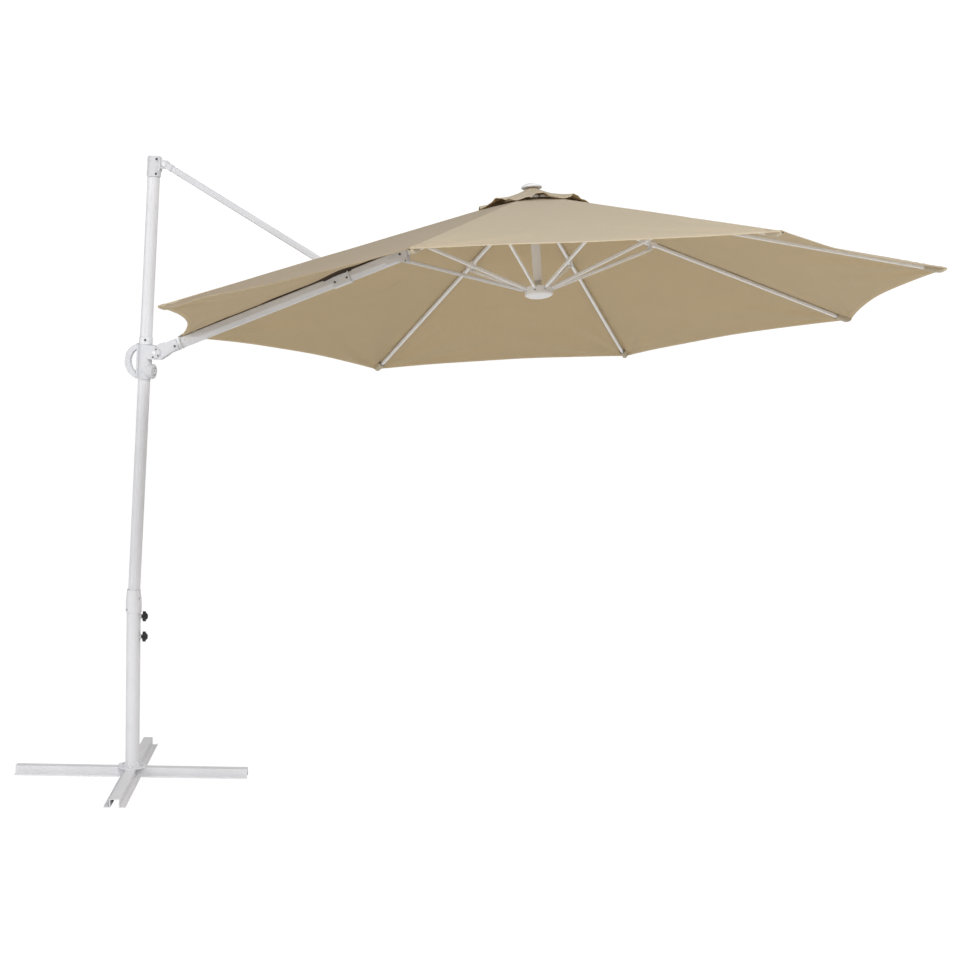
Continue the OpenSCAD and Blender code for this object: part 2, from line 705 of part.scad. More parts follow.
module slots(z0, z1) { eighths() box(30, 90, -slot_width / 2, slot_width / 2, z0, z1); }
module hub_ring(r, z, half) { eighths() at_xz([hub_r, z]) along_y(r, -half, half); }
module hub_pins(z) { hub_ring(hub_pin_r, z, 8.2); }
module hub_pin_holes(z) { hub_ring(hub_pin_r + 0.02, z, 8.3); }
module crown() color("white") on_canopy() difference() {
  union() {
    at_z(crown_pivot_z - 11.5) cylinder(r = hub_r + 8, h = 24, $fn = 128);
    at_z(-11.6) cylinder(r1 = 30, r2 = 14, h = 12, $fn = 96);
    cylinder(r = 14, h = 24.5, $fn = 72);
    at_z(crown_pivot_z - 60) cylinder(r = 14.35, h = 60, $fn = 72);
  }
  slots(crown_pivot_z - 13, crown_pivot_z + 15);
  hub_pin_holes(crown_pivot_z);
  // annular seat for the pole
  difference() {
    at_z(crown_pivot_z - 20) cylinder(r = pole_r + 0.03, h = 14, $fn = 72);
    at_z(crown_pivot_z - 21) cylinder(r = 14.36, h = 16, $fn = 72);
  }
  at_z(-90) cylinder(r = 4.04, h = 120, $fn = 32);
}
module crown_pins() color("silver") on_canopy() hub_pins(crown_pivot_z);
module pole() color("white") on_canopy() difference() {
  union() {
    at_z(-326) cylinder(r = pole_r, h = 326 + crown_pivot_z - 6.1, $fn = 72);
    at_z(-330) cylinder(r1 = 16, r2 = pole_r, h = 4.1, $fn = 72);
  }
  at_z(-340) cylinder(r = 14.4, h = 340, $fn = 72);
}
module finial() color("white") on_canopy() {
  at_z(25.9) rotate_extrude($fn = 120) polygon(finial_outline);
  at_z(-20) cylinder(r = 4, h = 46, $fn = 32);
}
module runner() color("white") on_canopy() difference() {
  union() {
    at_z(runner_pivot_z - 10) cylinder(r = hub_r + 7.5, h = 19, $fn = 128);
    at_z(runner_pivot_z) rotate_extrude($fn = 128) polygon(runner_outline);
    at_z(runner_pivot_z + 8.9) cylinder(r1 = 28, r2 = 17.5, h = 10, $fn = 96);
  }
  slots(runner_pivot_z - 8.5, runner_pivot_z + 12);
  hub_pin_holes(runner_pivot_z);
  at_z(runner_pivot_z - 22) cylinder(r = inner_tube_r + 0.03, h = 80, $fn = 64);
}
module runner_pins() color("silver") on_canopy() hub_pins(runner_pivot_z);
module inner_tube() color("silver") on_canopy() difference() {
  at_z(runner_pivot_z - 21.9) cylinder(r = inner_tube_r, h = 170, $fn = 64);
  at_z(runner_pivot_z - 10) cylinder(r = 11, h = 170, $fn = 48);
}

// ---------- fabric ----------
panel_mid_r = canopy_r * cos(22.5);
panel_slope = atan(canopy_r * tan(fall) / panel_mid_r);
panel_len = panel_mid_r / cos(panel_slope);
vent_hole_r = 100;
seam_lap = 5;
vent_slope = atan(tan(18.5) / cos(22.5));
// hem between two tips, curved inwards by depth
function hem(len, half, steps, depth) = [
  for (i = [0:steps]) let(t = i / steps) [len - 4 * t * (1 - t) * depth, -half + 2 * half * t]];
// one panel, lapped over its neighbours by a narrow seam
module panel() {
  half = canopy_r * sin(22.5);
  start = vent_hole_r * cos(22.5) / cos(panel_slope);
  start_half = start / panel_len * half + seam_lap;
  linear_extrude(cloth) polygon(concat(
    [[start, -start_half], [panel_len - 1, -half - seam_lap]],
    hem(panel_len, half, 12, scallop / cos(panel_slope)),
    [[panel_len - 1, half + seam_lap], [start, start_half]]));
}
// The two panels beside the arm, from the raised corner to the next tip.
// They are drawn flat: X along the arm ridge, Y towards the next tip.
arm_tip_z = -388;
next_tip = [canopy_r * cos(45), canopy_r * sin(45), -canopy_r * tan(fall)];
ridge_slope = atan(-arm_tip_z / canopy_r);
ridge_len = norm([canopy_r, 0, arm_tip_z]);
// next tip after levelling the arm ridge, then after levelling the panel
level_z = next_tip[0] * sin(ridge_slope) + next_tip[2] * cos(ridge_slope);
side_slope = atan(-level_z / next_tip[1]);
flat_x = next_tip[0] * cos(ridge_slope) - next_tip[2] * sin(ridge_slope);
flat_y = norm([next_tip[1], level_z]);
slit_half = 9;
module side_panel() {
  side_hem = [for (i = [0:12])
    let(t = i / 12, shrink = 1 - 4 * t * (1 - t) * scallop / canopy_r)
    [(ridge_len + (flat_x - ridge_len) * t) * shrink,
      (slit_half + (flat_y - slit_half) * t) * shrink]];
  start = vent_hole_r / canopy_r;
  lap_x = -seam_lap * flat_y / norm([flat_x, flat_y]);
  lap_y = seam_lap * flat_x / norm([flat_x, flat_y]);
  // lapped up to 600 mm, then stepped back to leave a slit along the ridge
  linear_extrude(cloth) polygon(concat(
    [[ridge_len * start, -seam_lap], [600, -seam_lap], [640, slit_half], [680, slit_half]],
    side_hem,
    [[flat_x - 1 + lap_x, flat_y + lap_y], [flat_x * start + lap_x, flat_y * start + lap_y]]));
}
module placed_side_panel() {
  rotate([0, 0, 180]) rotate([0, ridge_slope, 0]) rotate([-side_slope, 0, 0]) side_panel();
}
module canopy() color("tan") on_canopy() difference() {
  union() {
    for (a = [292.5, 337.5, 22.5, 67.5, 112.5, 247.5])
      rotate([0, 0, a]) rotate([0, panel_slope, 0]) panel();
    placed_side_panel();
    mirror([0, 1, 0]) placed_side_panel();
  }
  // opening for the strut and its pivot
  translate([-(apex_x - sleeve_x) * cos(cant) - 62, -28, -330]) cube([110, 56, 240]);
}
module vent_cap() color("tan") on_canopy() {
  half = vent_r * sin(22.5);
  len = vent_r * cos(22.5) / cos(vent_slope);
  start = 15.6 / cos(vent_slope);
  start_half = start / len * half + 3;
  for (a = [22.5:45:337.5])
    turned(a, 21.6) rotate([0, vent_slope, 0]) linear_extrude(1.6) polygon(concat(
      [[start, -start_half], [len - 2, -half - 3]],
      [for (point = hem(len, half, 8, 10)) if (abs(point[1]) < half - 1) point],
      [[len - 2, half + 3], [start, start_half]]));
}

// ---------- ribs and stretchers ----------
rib_axis_z = -10;
// stations along the rib axis
rib_start = (hub_r + 22) / cos(fall);
rib_end = (canopy_r - 34) / cos(fall);
rib_screw = rib_start + 12;
clamp_x = lug_r * cos(fall) - (lug_z - rib_axis_z) * sin(fall);
clamp_screws = [clamp_x - 17, clamp_x + 17];
// lug pivot, measured square to the rib axis
lug_offset = lug_r * sin(fall) + (lug_z - rib_axis_z) * cos(fall);
stretcher_len = sqrt(reach * reach + drop * drop);
stretcher_tilt = atan(drop / reach);

// rib axis in space, and the same line in an X-Z outline
module rib_axis() { at_z(rib_axis_z) rotate([0, fall, 0]) children(); }
module rib_outline_axis() { translate([0, rib_axis_z]) rotate(-fall) children(); }
module rib_bar(x0, x1, less, r) {
  profile_x(x0, x1) soft_box(rib_width - less, rib_height - less, r);
}
module rib_holes(stations) {
  for (x = stations) translate([x, 0, 0]) along_y(1.55, -20, 20);
}
module rib_tube() rib_axis() difference() {
  rib_bar(rib_start, rib_end, 0, 4);
  rib_bar(rib_start - 1, rib_end + 1, 2, 3);
  rib_holes(concat([rib_screw], clamp_screws));
}
// crown end with eye
module rib_crown_end() difference() {
  plate_y(-4.3, 4.3) {
    translate([hub_r, crown_pivot_z]) circle(r = 6.5, $fn = 48);
    rib_outline_axis() {
      translate([hub_r + 5, -4.6]) square([rib_start - hub_r, 9.2]);
      translate([rib_start + 0.5, -5.1]) square([23.5, 10.2]);
    }
  }
  at_xz([hub_r, crown_pivot_z]) along_y(hub_pin_r + play, -20, 20);
  rib_axis() rib_holes([rib_screw]);
}
// clamp with the lug for the stretcher
module rib_clamp() difference() {
  side = rib_width / 2;
  top = rib_height / 2;
  union() {
    rib_axis() box(clamp_x - 26, clamp_x + 26, -side - 3.5, side + 3.5, -top - 1.3, top + 0.6);
    for (y = [-7.7, 7.7]) plate_y(y - 1.4, y + 1.4) {
      translate([lug_r, lug_z]) circle(r = 6.5, $fn = 48);
      rib_outline_axis() translate([clamp_x - 5.5, lug_offset]) square([11, -lug_offset - 3]);
    }
  }
  rib_axis()
    box(clamp_x - 30, clamp_x + 30, -side - play, side + play, -top - play, top + play);
  at_xz([lug_r, lug_z]) along_y(hub_pin_r + 0.02, -20, 20);
  rib_axis() rib_holes(clamp_screws);
}
module rib_screws() rib_axis() {
  translate([rib_screw, 0, 0]) {
    pair_y(1.5, 3.4, 2.8);
    pair_y(2.8, 6.5, 0.45);
  }
  for (x = clamp_screws) translate([x, 0, 0]) rivet(1.5, 9.7, 2.8, 10.1, 0.55);
}
module rib_tip() rib_axis() {
  rib_bar(rib_end - 20, rib_end + 0.2, 2.1, 2.9);
  rib_bar(rib_end + 0.1, rib_end + 8, 0.5, 4);
  along_x(4.2, rib_end + 7.9, rib_end + 11);
}
// one rib along +X from its crown pivot
module rib() {
  color("white") rib_tube();
  color("white") rib_crown_end();
  color("white") rib_clamp();
  color("silver") rib_screws();
  color("silver") at_xz([lug_r, lug_z]) rivet(hub_pin_r, 9.8, 3.8, 10.2, 0.75);
  color("dimgray") rib_tip();
}
// stretcher from the lug to the runner
module stretcher() {
  ends = [0, stretcher_len];
  at_xz([lug_r, lug_z]) rotate([0, 180 - stretcher_tilt, 0]) mirror([0, 0, 1])
    color("white") difference() {
      union() {
        profile_x(16, stretcher_len - 16) difference() {
          soft_box(9, 14, 4);
          soft_box(7, 12, 3);
        }
        for (x = ends) translate([x, 0, 0]) along_y(5.6, -4.2, 4.2);
        for (x = [0, stretcher_len - 17]) box(x, x + 17, -4.2, 4.2, -4, 4);
      }
      for (x = ends) translate([x, 0, 0]) along_y(hub_pin_r + play, -20, 20);
    }
}
// corners 1 to 8 in steps of 45 degrees; 3 points along +X, 7 lies over the arm
module at_corner(number) { on_canopy() rotate([0, 0, 45 * ((number + 5) % 8)]) children(); }
module rib_1() at_corner(1) rib();
module rib_2() at_corner(2) rib();
module rib_3() at_corner(3) rib();
module rib_4() at_corner(4) rib();
module rib_5() at_corner(5) rib();
module rib_6() at_corner(6) rib();
module rib_8() at_corner(8) rib();
module stretcher_1() at_corner(1) stretcher();
module stretcher_2() at_corner(2) stretcher();
module stretcher_3() at_corner(3) stretcher();
module stretcher_4() at_corner(4) stretcher();
module stretcher_5() at_corner(5) stretcher();
module stretcher_6() at_corner(6) stretcher();
module stretcher_8() at_corner(8) stretcher();
module arm_stretcher() at_corner(7) stretcher();

beam_long();
beam_cross();
base_plate();
base_bolts();
lower_tube();
swivel_bushes();
collar();
knob_upper();
knob_lower();
mast_insert();
mast_pole();
mast_screws();
mast_cap();
top_pin();
slider_stop();
strut_tube();
strut_head();
strut_foot();
strut_pins();
strut_sleeve();
elbow();
elbow_screws();
slider();
slider_liner();
handle();
crank_housing();
crank_drive();
slider_pin();
arm_lower();
arm_upper();
arm_spigot();
arm_journal();
end_bracket();
arm_screws();
arm_crown_end();
corner_tie();
crown();
crown_pins();
pole();
finial();
canopy();
vent_cap();
runner();
runner_pins();
inner_tube();
rib_1();
rib_2();
rib_3();
rib_4();
rib_5();
rib_6();
rib_8();
stretcher_1();
stretcher_2();
stretcher_3();
stretcher_4();
stretcher_5();
stretcher_6();
stretcher_8();
arm_stretcher();
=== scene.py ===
# Parasol on a leaning mast. The mast stands over the origin with +Z up and leans towards +X,
# and the arm rises from it towards +X. The eight-ridged canopy hangs near the arm's far end.
# Shapes are worked out in millimetres in the frames below, then put in metres in the shared frame.
import json
import math

import bpy
import numpy as np
from mathutils import Matrix, Vector


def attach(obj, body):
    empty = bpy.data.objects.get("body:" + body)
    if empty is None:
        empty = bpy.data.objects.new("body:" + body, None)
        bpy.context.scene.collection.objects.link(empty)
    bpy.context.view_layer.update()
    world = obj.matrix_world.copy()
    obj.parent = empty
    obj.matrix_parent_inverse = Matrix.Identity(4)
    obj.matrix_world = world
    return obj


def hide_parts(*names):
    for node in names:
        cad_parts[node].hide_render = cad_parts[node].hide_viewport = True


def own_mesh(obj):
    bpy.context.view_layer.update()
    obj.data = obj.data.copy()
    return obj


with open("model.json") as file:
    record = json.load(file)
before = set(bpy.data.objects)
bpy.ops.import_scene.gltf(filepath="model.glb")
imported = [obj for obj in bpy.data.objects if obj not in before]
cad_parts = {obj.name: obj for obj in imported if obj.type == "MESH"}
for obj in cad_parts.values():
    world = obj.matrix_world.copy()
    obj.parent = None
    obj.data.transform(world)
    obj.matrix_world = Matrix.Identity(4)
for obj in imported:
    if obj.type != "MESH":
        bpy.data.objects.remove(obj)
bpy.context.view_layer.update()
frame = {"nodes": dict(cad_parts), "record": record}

NODES = frame["nodes"]
scene = bpy.context.scene
MM = 0.001
UP = np.array([0, 0, 1.0])


# ---------------------------------------------------------------- frames
def rot(axis, degrees):
    return np.array(Matrix.Rotation(math.radians(degrees), 4, axis))


def shift(x, y, z):
    return np.array(Matrix.Translation((x, y, z)))


MAST_LEAN = 2.37  # degrees from upright
ARM_RISE = 22.1  # degrees above level
ARM_ROLL = -8.62  # degrees about the arm
CANOPY_CANT = 14.19  # degrees between arm and canopy
RIB_FALL = 16.9  # degrees the ribs fall towards the hem
MAST_ORIGIN = (0, 0, 749)
ARM_ORIGIN = (48, 0, 1013)  # in the mast frame
CANOPY_ORIGIN = (1670.6, 0, 33.2)  # in the rolled arm frame

MAST = shift(*MAST_ORIGIN) @ rot("Y", MAST_LEAN)
ARM = MAST @ shift(*ARM_ORIGIN) @ rot("Y", -ARM_RISE - MAST_LEAN)
ROLLED_ARM = ARM @ rot("X", ARM_ROLL)
CANOPY = ROLLED_ARM @ shift(*CANOPY_ORIGIN) @ rot("Y", CANOPY_CANT)

# Ridges 1 to 8 and their azimuths in the canopy frame; ridge 7 lies along the arm
RIDGES = 8
SECTOR = 360 // RIDGES
HALF_SECTOR = SECTOR / 2
AZIMUTH = {ridge: (270 + SECTOR * (ridge - 1)) % 360 for ridge in range(1, RIDGES + 1)}
ARM_RIDGE = 7


def put(frame_matrix, points):
    """Points in millimetres in a frame, as metres in the shared frame."""
    points = np.asarray(points, float)
    return (points @ frame_matrix[:3, :3].T + frame_matrix[:3, 3]) * MM


def radial(degrees):
    """Unit vector at an azimuth, level in the canopy frame."""
    angle = math.radians(degrees)
    return np.array([math.cos(angle), math.sin(angle), 0.0])


def sideways(degrees):
    """Unit vector across an azimuth, towards the larger azimuths."""
    angle = math.radians(degrees)
    return np.array([-math.sin(angle), math.cos(angle), 0.0])


def neighbour(ridge, side):
    return (ridge - 1 + side) % RIDGES + 1


def body_of(ridge):
    return "arm" if ridge == ARM_RIDGE else "rib_%d" % ridge


def side_name(side):
    return "left" if side > 0 else "right"


# ---------------------------------------------------------------- shader helpers
def rgba(colour, factor=1.0, tint=(1.0, 1.0, 1.0)):
    """Colour times a factor and a tint, held at 1, with full alpha."""
    return (*(min(c * factor * k, 1) for c, k in zip(colour, tint)), 1.0)


WHITE = rgba((1.0, 1.0, 1.0))


class Shader:
    """Node tree of a material or world; each helper adds a node and returns its output."""

    def __init__(self, owner):
        self.owner = owner
        owner.use_nodes = True
        self.tree = owner.node_tree
        self.tree.nodes.clear()

    def node(self, kind, inputs=None, **props):
        node = self.tree.nodes.new(kind)
        node.location = (180 * len(self.tree.nodes), 0)
        for key, value in props.items():
            setattr(node, key, value)
        for key, value in (inputs or {}).items():
            if isinstance(value, bpy.types.NodeSocket):
                self.tree.links.new(value, node.inputs[key])
            else:
                node.inputs[key].default_value = value
        return node

    def calc(self, operation, a, b=0.0, clamp=False):
        props = {"operation": operation, "use_clamp": clamp}
        return self.node("ShaderNodeMath", {0: a, 1: b}, **props).outputs[0]

    def mix(self, factor, a, b):
        return self.node("ShaderNodeMix", {0: factor, 6: a, 7: b}, data_type="RGBA").outputs[2]

    def ramp(self, value, over, to=(0.0, 1.0)):
        inputs = {"Value": value, "From Min": over[0], "From Max": over[1],
                  "To Min": to[0], "To Max": to[1]}
        return self.node("ShaderNodeMapRange", inputs, clamp=True).outputs[0]

    def noise(self, coords, scale, detail=2.0, rough=0.5):
        inputs = {"Vector": coords, "Scale": scale, "Detail": detail, "Roughness": rough}
        return self.node("ShaderNodeTexNoise", inputs).outputs["Fac"]

    def stretched(self, coords, scale):
        return self.node("ShaderNodeMapping", {"Vector": coords, "Scale": scale}).outputs[0]

    def wave(self, coord, period):
        return self.calc("SINE", self.calc("MULTIPLY", coord, 2 * math.pi / period))

    def ribs(self, coord, period):
        return self.calc("ABSOLUTE", self.wave(coord, period))

    def near(self, distance, at, reach):
        """1 where distance equals at, falling to 0 at the given reach."""
        off = self.calc("ABSOLUTE", self.calc("SUBTRACT", distance, at))
        return self.calc("SUBTRACT", 1.0, self.calc("DIVIDE", off, reach), clamp=True)

    def bump(self, height, distance, strength=1.0, normal=None):
        inputs = {"Height": height, "Distance": distance, "Strength": strength}
        if normal is not None:
            inputs["Normal"] = normal
        return self.node("ShaderNodeBump", inputs).outputs[0]

    def attribute(self, name):
        return self.node("ShaderNodeAttribute", attribute_name=name).outputs["Fac"]

    def object_coords(self):
        return self.node("ShaderNodeTexCoord").outputs["Object"]

    def weave_coords(self):
        return self.node("ShaderNodeUVMap", uv_map="weave").outputs[0]

    def split(self, vector):
        return self.node("ShaderNodeSeparateXYZ", {0: vector}).outputs

    def principled(self, **inputs):
        """Principled shader; underscores in the argument names stand for spaces."""
        inputs = {key.replace("_", " "): value for key, value in inputs.items()}
        return self.node("ShaderNodeBsdfPrincipled", inputs).outputs[0]

    def blend(self, factor, a, b):
        return self.node("ShaderNodeMixShader", {0: factor, 1: a, 2: b}).outputs[0]

    def finish(self, surface, kind="ShaderNodeOutputMaterial"):
        self.node(kind, {"Surface": surface})
        return self.owner


def material_shader(name):
    return Shader(bpy.data.materials.new(name))


# ---------------------------------------------------------------- hard surfaces
def coated(name, base, worn, rough, peel, peel_scale, edge,
           metallic=0.0, spec=0.5, streak=0.0, coat=0.0):
    """Coated, moulded or plated surface with soft, rubbed edges, mottling and fine relief.
    peel is the relief's depth and edge the rounding radius, both in metres."""
    s = material_shader(name)
    coords = s.object_coords()
    flat = s.node("ShaderNodeNewGeometry").outputs["Normal"]
    rounded = s.node("ShaderNodeBevel", {"Radius": edge}, samples=4).outputs[0]
    facing = s.node("ShaderNodeVectorMath", {0: rounded, 1: flat},
                    operation="DOT_PRODUCT").outputs["Value"]
    rim = s.ramp(facing, over=(0.995, 0.86))
    cloudy = s.noise(coords, scale=7.0, detail=3.0, rough=0.6)
    mottle = s.noise(coords, scale=55.0, detail=4.0, rough=0.62)
    relief = s.noise(coords, scale=peel_scale, detail=1.5, rough=0.45)
    patchy = s.ramp(mottle, over=(0.42, 0.66), to=(0.1, 1.0))
    rubbed = s.calc("MULTIPLY", rim, patchy, clamp=True)
    colour = s.mix(s.ramp(cloudy, over=(0.35, 0.65)), rgba(base, 0.955), rgba(base))
    spots = s.noise(coords, scale=23.0, detail=6.0, rough=0.7)
    colour = s.mix(s.ramp(spots, over=(0.62, 0.78), to=(0.0, 0.5)), colour,
                   rgba(base, tint=(0.90, 0.895, 0.88)))
    colour = s.mix(s.calc("MULTIPLY", rubbed, 0.75), colour, rgba(worn))
    gloss = s.ramp(mottle, over=(0.3, 0.7), to=(rough - 0.02, rough + 0.03))
    roughness = s.calc("ADD", gloss, s.calc("MULTIPLY", rubbed, 0.12))
    if streak:
        drawn = s.noise(s.stretched(coords, scale=(900.0, 900.0, 14.0)), scale=1.0)
        relief = s.calc("ADD", relief, s.calc("MULTIPLY", drawn, streak))
    normal = s.bump(relief, distance=peel, normal=rounded)
    return s.finish(s.principled(
        Base_Color=colour, Roughness=roughness, Metallic=metallic, Specular_IOR_Level=spec,
        Normal=normal, Coat_Weight=coat, Coat_Roughness=0.18))


OFF_WHITE = (0.77, 0.773, 0.80)

MATERIALS = {
    "frame_white": coated(
        "powder_coat_white", base=OFF_WHITE, worn=(0.66, 0.66, 0.67), rough=0.42,
        peel=0.000006, peel_scale=1300.0, edge=0.0008, coat=0.12),
    "plastic_white": coated(
        "moulded_white", base=OFF_WHITE, worn=(0.68, 0.68, 0.68), rough=0.42,
        peel=0.000006, peel_scale=2300.0, edge=0.0014, spec=0.45),
    # a darker copy of the white powder coat for the strut, slider, handle, crank housing, elbow
    # and mast cap: painted shade
    "frame_with_painted_shade": coated(
        "powder_coat_white_painted_shade", base=(0.66, 0.663, 0.69), worn=(0.58, 0.58, 0.59), rough=0.55,
        peel=0.000003, peel_scale=1300.0, edge=0.0008, spec=0.3),
    # a lighter copy of the white powder coat for the ribs, stretchers, poles, runners and inner
    # parts: painted light
    "frame_with_painted_light": coated(
        "powder_coat_white_painted_light", base=(0.88, 0.87, 0.865), worn=(0.70, 0.70, 0.70), rough=0.34,
        peel=0.000009, peel_scale=1300.0, edge=0.0008, coat=0.12),
    "plastic_grey": coated(
        "moulded_grey", base=(0.045, 0.045, 0.048), worn=(0.10, 0.10, 0.10), rough=0.46,
        peel=0.00001, peel_scale=1900.0, edge=0.0010),
    "plastic_black": coated(
        "moulded_black", base=(0.014, 0.014, 0.015), worn=(0.05, 0.05, 0.05), rough=0.40,
        peel=0.00001, peel_scale=1700.0, edge=0.0016),
    "steel": coated(
        "zinc_plate", base=(0.60, 0.61, 0.63), worn=(0.74, 0.74, 0.75), rough=0.32,
        peel=0.000008, peel_scale=1500.0, edge=0.0005, metallic=1.0, streak=0.5),
    "screw_dark": coated(
        "dark_screw", base=(0.10, 0.10, 0.105), worn=(0.26, 0.26, 0.27), rough=0.38,
        peel=0.000008, peel_scale=1500.0, edge=0.0005, metallic=0.85),
}


# ---------------------------------------------------------------- cloth and webbing
THREAD = 0.0015  # weave period, metres
STITCH = 0.0042  # stitch period, metres
THROUGH = 0.14  # share of light passing through single cloth
DOUBLED_LOSS = 0.55  # part of that share lost where the cloth is doubled
PAINTED_SHADE_TINT = (0.78, 0.74, 0.70)  # tint that darkens the outer face of the marked halves: painted shade


def plain_weave(s, u, v):
    """Height of warp and weft threads passing over and under each other."""
    wave_u = s.wave(u, THREAD)
    wave_v = s.wave(v, THREAD)
    round_u = s.calc("ABSOLUTE", wave_u)
    round_v = s.calc("ABSOLUTE", wave_v)
    checks = s.calc("MULTIPLY", s.wave(u, 2 * THREAD), s.wave(v, 2 * THREAD))
    over = s.calc("GREATER_THAN", checks, 0.0)
    lifted = s.calc("ADD", s.calc("MULTIPLY", over, 0.6), 0.4)
    warp = s.calc("MULTIPLY", round_u, lifted)
    weft = s.calc("MULTIPLY", round_v, s.calc("SUBTRACT", 1.0, s.calc("MULTIPLY", over, 0.6)))
    return s.calc("MAXIMUM", warp, weft)


def sewing(s, colour, normal, tone, u, v):
    """Adds stitch rows and the edges of the doubled hem and seam.
    Returns the colour, the normal and a mask of the doubled cloth."""
    hem = s.attribute("hem")  # millimetres in from the hem
    seam = s.attribute("seam")  # millimetres from the ridge seam

    def stitches(distance, at, along):
        """Stitch row: its line, and the threads with a gap between them."""
        line = s.near(distance, at, reach=0.9)
        beat = s.calc("GREATER_THAN", s.wave(along, STITCH), -0.45)
        return line, s.calc("MULTIPLY", line, beat)

    def highest(a, b, c, d):
        return s.calc("MAXIMUM", s.calc("MAXIMUM", a, b), s.calc("MAXIMUM", c, d))

    rows = [stitches(hem, at=19.0, along=v), stitches(seam, at=2.4, along=u),
            stitches(seam, at=5.4, along=u), stitches(hem, at=2.5, along=v)]
    lines = highest(*(line for line, _ in rows))
    threads = highest(*(thread for _, thread in rows))
    hem_edge = s.near(hem, at=22.5, reach=2.2)
    seam_edge = s.near(seam, at=7.2, reach=1.8)
    # painted shade: darker along the edges of the doubled hem and seam and along the stitch rows
    edges = s.calc("MULTIPLY", s.calc("MAXIMUM", hem_edge, seam_edge), 0.28)
    colour = s.mix(edges, colour, tone(0.55))
    colour = s.mix(s.calc("MULTIPLY", lines, 0.22), colour, tone(0.55))
    colour = s.mix(s.calc("MULTIPLY", threads, 0.55), colour, tone(1.18))
    relief = s.calc("SUBTRACT", s.calc("MULTIPLY", threads, 1.0), s.calc("MULTIPLY", lines, 0.8))
    normal = s.bump(relief, distance=0.0006, strength=0.7, normal=normal)
    in_hem = s.calc("LESS_THAN", hem, 22.0)
    in_seam = s.calc("LESS_THAN", seam, 7.0)
    return colour, normal, s.calc("MAXIMUM", in_hem, in_seam)


def cloth(name, base, under, lit, sewn):
    """Plain-woven cloth. base colours the outer face, under the face marked by the inner
    attribute, and lit the light coming through. under is painted light and shade: the lower
    face is the same cloth, given its own tone."""
    s = material_shader(name)
    inner = s.attribute("inner")
    panel_painted_shade = s.attribute("panel_painted_shade")

    def tone(factor):
        # painted shade: the outer face of the marked halves is darker
        face = s.mix(panel_painted_shade, rgba(base, factor), rgba(base, factor, PAINTED_SHADE_TINT))
        return s.mix(inner, face, rgba(under, factor))

    uv = s.weave_coords()
    u, v = s.split(uv)[:2]
    weave = plain_weave(s, u, v)
    # slubs: threads of uneven thickness and shade running both ways
    slub_u = s.noise(s.stretched(uv, scale=(6.0, 520.0, 1.0)), scale=1.0, detail=3.0, rough=0.6)
    slub_v = s.noise(s.stretched(uv, scale=(520.0, 6.0, 1.0)), scale=1.0, detail=3.0, rough=0.6)
    slub = s.calc("ADD", slub_u, slub_v)
    coords = s.object_coords()
    cloud = s.noise(coords, scale=3.2, detail=3.0, rough=0.55)
    blot = s.noise(coords, scale=26.0, detail=4.0, rough=0.6)
    colour = s.mix(s.ramp(slub, over=(0.75, 1.25)), tone(0.93), tone(1.05))
    # darker in the hollows between the threads: painted shade
    colour = s.mix(s.ramp(weave, over=(0.2, 0.9), to=(0.22, 0.0)), colour, tone(0.62))
    colour = s.mix(s.ramp(cloud, over=(0.35, 0.65), to=(0.0, 0.10)), colour, tone(0.86))
    colour = s.mix(s.ramp(blot, over=(0.55, 0.75), to=(0.0, 0.06)), colour, tone(0.79))
    height = s.calc("ADD", s.calc("MULTIPLY", weave, 1.0), s.calc("MULTIPLY", slub, 0.35))
    normal = s.bump(height, distance=0.00022, strength=0.8)
    doubled = 0.0
    if sewn:
        colour, normal, doubled = sewing(s, colour, normal, tone, u, v)
    face = s.principled(Base_Color=colour, Roughness=0.86, Specular_IOR_Level=0.18,
                        Sheen_Weight=0.16, Sheen_Roughness=0.45, Normal=normal)
    glow = s.node("ShaderNodeBsdfTranslucent",
                  {"Color": s.mix(0.5, colour, rgba(lit)), "Normal": normal}).outputs[0]
    share = s.calc("SUBTRACT", THROUGH, s.calc("MULTIPLY", doubled, THROUGH * DOUBLED_LOSS))
    return s.finish(s.blend(share, face, glow))


def webbing(name, base):
    """Ribbed webbing that follows the weave map."""
    s = material_shader(name)
    u, v = s.split(s.weave_coords())[:2]
    height = s.calc("MULTIPLY", s.ribs(u, period=0.0018), s.ribs(v, period=0.0030))
    fuzz = s.noise(s.object_coords(), scale=900.0, detail=3.0, rough=0.6)
    # darker in the grooves of the ribbing: painted shade
    colour = s.mix(height, rgba(base, 0.66), rgba(base))
    colour = s.mix(s.ramp(fuzz, over=(0.4, 0.7), to=(0.0, 0.25)), colour, rgba(base, 0.8))
    relief = s.calc("ADD", height, s.calc("MULTIPLY", fuzz, 0.3))
    normal = s.bump(relief, distance=0.0004, strength=0.8)
    return s.finish(s.principled(Base_Color=colour, Roughness=0.9, Specular_IOR_Level=0.15,
                                 Sheen_Weight=0.2, Normal=normal))


def webbing_unmapped(name, base):
    """Similar webbing for pieces without a weave map, ribbed along x + z."""
    s = material_shader(name)
    coords = s.object_coords()
    x, _, z = s.split(coords)
    height = s.ribs(s.calc("ADD", x, z), period=0.0024)
    fuzz = s.noise(coords, scale=900.0, detail=3.0, rough=0.6)
    # darker in the grooves of the ribbing: painted shade
    colour = s.mix(height, rgba(base, 0.66), rgba(base))
    relief = s.calc("ADD", height, s.calc("MULTIPLY", fuzz, 0.4))
    normal = s.bump(relief, distance=0.0004, strength=0.8)
    return s.finish(s.principled(Base_Color=colour, Roughness=0.9, Specular_IOR_Level=0.15,
                                 Normal=normal))


# the lower face's warmer, more saturated colour is painted light coming through the cloth
CLOTH = cloth("canopy_cloth", base=(0.60, 0.505, 0.358), under=(0.655, 0.51, 0.305),
              lit=(0.62, 0.50, 0.33), sewn=True)
